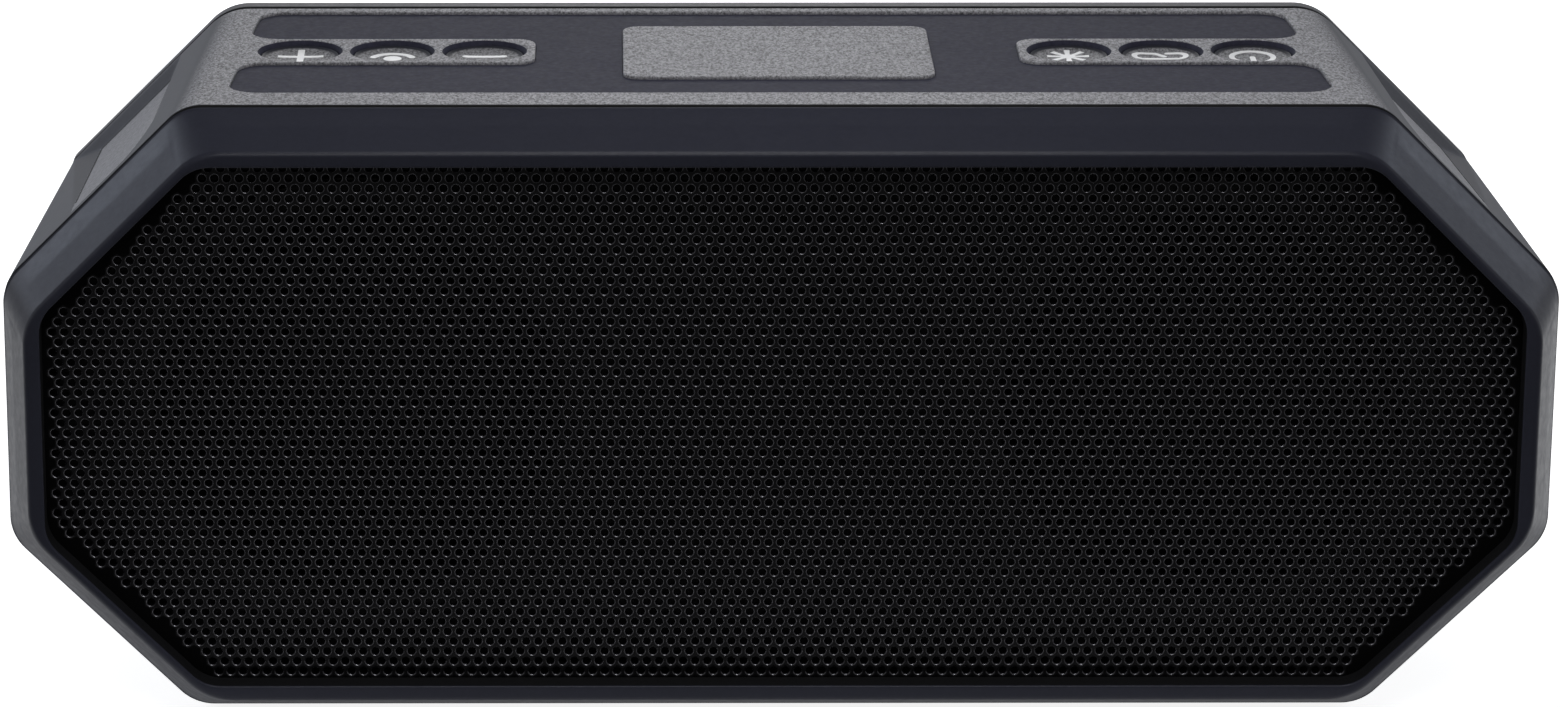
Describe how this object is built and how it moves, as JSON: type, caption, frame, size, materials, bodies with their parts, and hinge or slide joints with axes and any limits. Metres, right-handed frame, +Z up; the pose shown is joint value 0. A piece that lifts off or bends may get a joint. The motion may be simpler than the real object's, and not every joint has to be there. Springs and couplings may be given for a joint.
{
  "type": "bluetooth speaker",
  "caption": "Rugged octagonal portable speaker with a perforated front grille in a sculpted bezel, dished top buttons, two drivers, a passive radiator and a covered charging port.",
  "frame": {"origin": "on the surface it stands on, under the middle of its bounding box", "axes": "+X to the right seen from the front, +Y to the rear, +Z up"},
  "size_m": [0.19, 0.0654, 0.0778],
  "materials": {
    "sleeve": "fine moulded grain",
    "inlay": "smooth matte",
    "bezel": "soft satin",
    "rear_shell": "fine moulded grain",
    "rear_wall": "matte",
    "grille_steel": "black coat",
    "keys": "fine moulded grain",
    "inner_plastic": "matte",
    "seal_rubber": "matte",
    "basket_steel": "black coat",
    "magnet": "ground ferrite and steel",
    "cone_paper": "coated paper",
    "spider_cloth": "pressed cloth",
    "coil_copper": "wound copper",
    "screw_steel": "plain",
    "plated_steel": "plated",
    "board": "green solder mask",
    "switch_plastic": "matte",
    "cell_wrap": "shrink wrap",
    "radiator_weight": "black coat"
  },
  "bodies": {
    "housing": {"sleeve_shell": "sleeve", "top_inlay": "inlay", "front_bezel": "bezel", "rear_bezel": "rear_shell", "rear_panel": "rear_wall", "front_grille": "grille_steel", "front_baffle": "inner_plastic", "battery_tray": "inner_plastic", "front_gasket": "seal_rubber", "rear_gasket": "seal_rubber", "rubber_feet": "seal_rubber", "left_driver_surround": "seal_rubber", "right_driver_surround": "seal_rubber", "radiator_surround": "seal_rubber", "left_driver_basket": "basket_steel", "right_driver_basket": "basket_steel", "left_driver_magnet": "magnet", "right_driver_magnet": "magnet", "left_driver_spider": "spider_cloth", "right_driver_spider": "spider_cloth", "driver_screws": "screw_steel", "baffle_screws": "screw_steel", "rear_screws": "screw_steel", "board_screws": "screw_steel", "key_board_screws": "screw_steel", "tray_screws": "screw_steel", "usb_socket": "plated_steel", "radio_module": "plated_steel", "main_board": "board", "key_board": "board", "key_switches": "switch_plastic", "battery_cells": "cell_wrap"},
    "volume_up_button": {"volume_up_button": "keys"},
    "play_button": {"play_button": "keys"},
    "volume_down_button": {"volume_down_button": "keys"},
    "light_button": {"light_button": "keys"},
    "pairing_button": {"pairing_button": "keys"},
    "power_button": {"power_button": "keys"},
    "left_moving_cone": {"left_driver_cone": "cone_paper", "left_driver_dust_cap": "cone_paper", "left_driver_voice_coil": "coil_copper"},
    "right_moving_cone": {"right_driver_cone": "cone_paper", "right_driver_dust_cap": "cone_paper", "right_driver_voice_coil": "coil_copper"},
    "radiator": {"radiator_plate": "radiator_weight"},
    "port_cover": {"port_cover": "seal_rubber"}
  },
  "joints": [
    {"name": "volume_up_press", "type": "slide", "parent": "housing", "child": "volume_up_button", "axis": [0, 0, -1], "range_m": [0, 0.0006], "stiffness_N_per_m": 300, "springref_m": -0.0005},
    {"name": "play_press", "type": "slide", "parent": "housing", "child": "play_button", "axis": [0, 0, -1], "range_m": [0, 0.0006], "stiffness_N_per_m": 300, "springref_m": -0.0005},
    {"name": "volume_down_press", "type": "slide", "parent": "housing", "child": "volume_down_button", "axis": [0, 0, -1], "range_m": [0, 0.0006], "stiffness_N_per_m": 300, "springref_m": -0.0005},
    {"name": "light_press", "type": "slide", "parent": "housing", "child": "light_button", "axis": [0, 0, -1], "range_m": [0, 0.0006], "stiffness_N_per_m": 300, "springref_m": -0.0005},
    {"name": "pairing_press", "type": "slide", "parent": "housing", "child": "pairing_button", "axis": [0, 0, -1], "range_m": [0, 0.0006], "stiffness_N_per_m": 300, "springref_m": -0.0005},
    {"name": "power_press", "type": "slide", "parent": "housing", "child": "power_button", "axis": [0, 0, -1], "range_m": [0, 0.0006], "stiffness_N_per_m": 300, "springref_m": -0.0005},
    {"name": "left_cone_stroke", "type": "slide", "parent": "housing", "child": "left_moving_cone", "axis": [0, -1, 0], "range_m": [-0.0015, 0.0015], "stiffness_N_per_m": 500, "deforming": ["left_driver_surround", "left_driver_spider"]},
    {"name": "right_cone_stroke", "type": "slide", "parent": "housing", "child": "right_moving_cone", "axis": [0, -1, 0], "range_m": [-0.0015, 0.0015], "stiffness_N_per_m": 500, "deforming": ["right_driver_surround", "right_driver_spider"]},
    {"name": "radiator_stroke", "type": "slide", "parent": "housing", "child": "radiator", "axis": [0, 1, 0], "range_m": [-0.002, 0.002], "stiffness_N_per_m": 400, "deforming": ["radiator_surround"]},
    {"name": "port_cover_swing", "type": "hinge", "parent": "housing", "child": "port_cover", "pos_m": [0.06, 0.029, 0.02485], "axis": [-1, 0, 0], "range_deg": [0, 110]}
  ]
}
